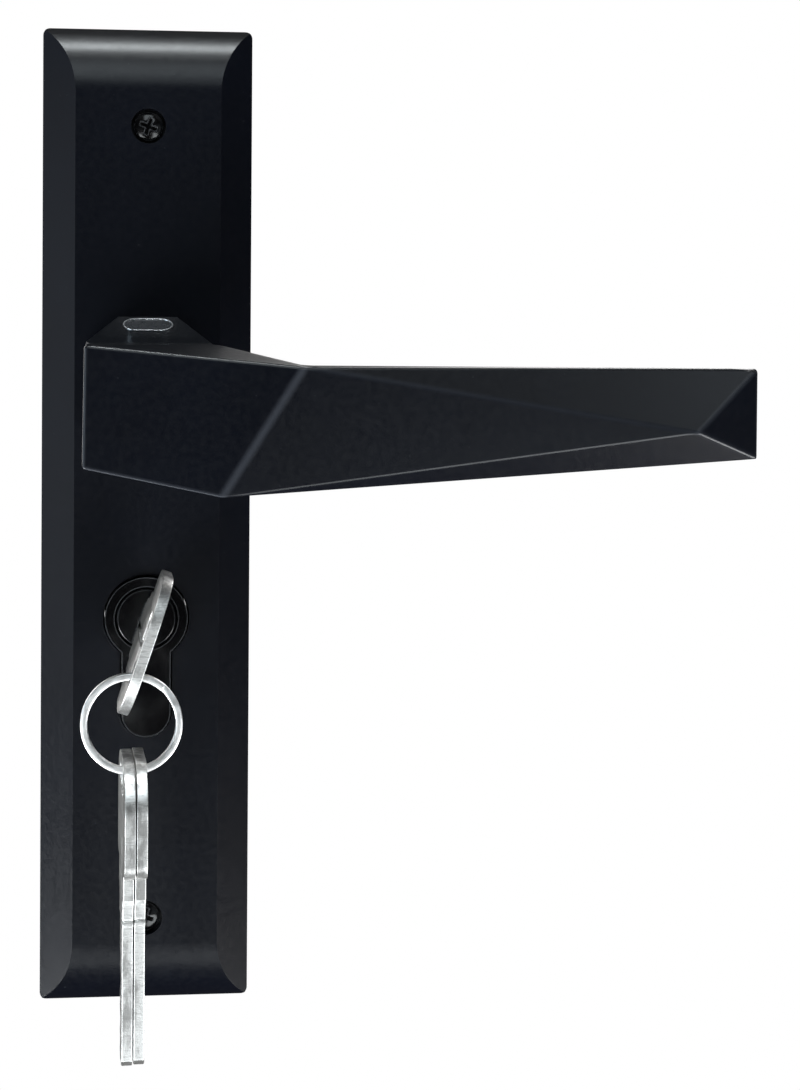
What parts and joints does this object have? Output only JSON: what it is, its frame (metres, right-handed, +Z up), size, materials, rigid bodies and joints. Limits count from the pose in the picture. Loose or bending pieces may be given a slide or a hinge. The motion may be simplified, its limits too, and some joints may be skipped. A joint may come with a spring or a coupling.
{
  "type": "lever handle lockset",
  "caption": "Faceted lever handle on a long bevelled backplate, with a euro-profile cylinder, a key turned in it and spare keys on a split ring.",
  "frame": {"origin": "centre of the backplate's back face, which rests on the door", "axes": "+X along the lever, +Y into the door, +Z up; the front faces -Y"},
  "size_m": [0.1417, 0.116, 0.2039],
  "materials": {
    "black_coat": "matt powder coat",
    "black_gloss": "gloss black",
    "nickel_silver": "satin nickel silver",
    "ring_steel": "polished",
    "badge_metal": "satin",
    "zinc_plated": "zinc plated",
    "spring_steel": "satin",
    "dark_steel": "blackened",
    "sintered_steel": "matt",
    "brass": "machined",
    "nylon": "natural"
  },
  "bodies": {
    "plate": {"backplate": "black_coat", "bearing_bush": "nylon", "hub_washer": "spring_steel", "return_spring": "spring_steel", "spring_cover": "zinc_plated", "cover_screws": "zinc_plated", "fixing_screws": "black_gloss", "cylinder_body": "black_gloss", "inner_plug": "black_gloss", "inner_plug_clip": "spring_steel", "inner_key_pins": "brass", "outer_driver_pins": "brass", "inner_driver_pins": "brass", "pin_springs": "spring_steel", "chamber_plugs": "brass"},
    "lever": {"lever_handle": "black_coat", "lever_badge": "badge_metal", "grub_screw": "dark_steel", "spindle": "zinc_plated", "hub_circlip": "dark_steel", "drive_cam": "zinc_plated"},
    "plug": {"outer_plug": "black_gloss", "outer_plug_clip": "spring_steel", "outer_key_pins": "brass", "working_key": "nickel_silver", "cam_coupling": "brass"},
    "cam": {"cylinder_cam": "sintered_steel"},
    "ring": {"split_ring": "ring_steel"},
    "spare_left": {"spare_key_left": "nickel_silver"},
    "spare_right": {"spare_key_right": "nickel_silver"}
  },
  "joints": [
    {"name": "lever_turn", "type": "hinge", "parent": "plate", "child": "lever", "pos_m": [0, 0, 0.0275], "axis": [0, 1, 0], "range_deg": [0, 40], "stiffness_Nm_per_rad": 0.9, "springref_deg": -34.38},
    {"name": "key_turn", "type": "hinge", "parent": "plate", "child": "plug", "pos_m": [0, 0, -0.0205], "axis": [0, 1, 0], "range_deg": [-108.5, 71.5]},
    {"name": "cam_turn", "type": "hinge", "parent": "plate", "child": "cam", "pos_m": [0, 0, -0.0205], "axis": [0, 1, 0], "range_deg": [-108.5, 71.5]},
    {"name": "ring_hang", "type": "hinge", "parent": "plug", "child": "ring", "pos_m": [-0.00355, -0.039, -0.03269], "axis": [0, 1, 0], "range_deg": [-71.5, 108.5]},
    {"name": "spare_left_swing", "type": "hinge", "parent": "ring", "child": "spare_left", "pos_m": [-0.00405, -0.039, -0.04612], "axis": [0.9993, 0.0366, 0], "range_deg": [-40, 20]},
    {"name": "spare_right_swing", "type": "hinge", "parent": "ring", "child": "spare_right", "pos_m": [-0.00175, -0.039, -0.04602], "axis": [0.9993, 0.0366, 0], "range_deg": [-40, 20]}
  ],
  "couplings": [
    {"joint": "cam_turn", "follows": "key_turn", "ratio": 1},
    {"joint": "ring_hang", "follows": "key_turn", "ratio": -1}
  ]
}
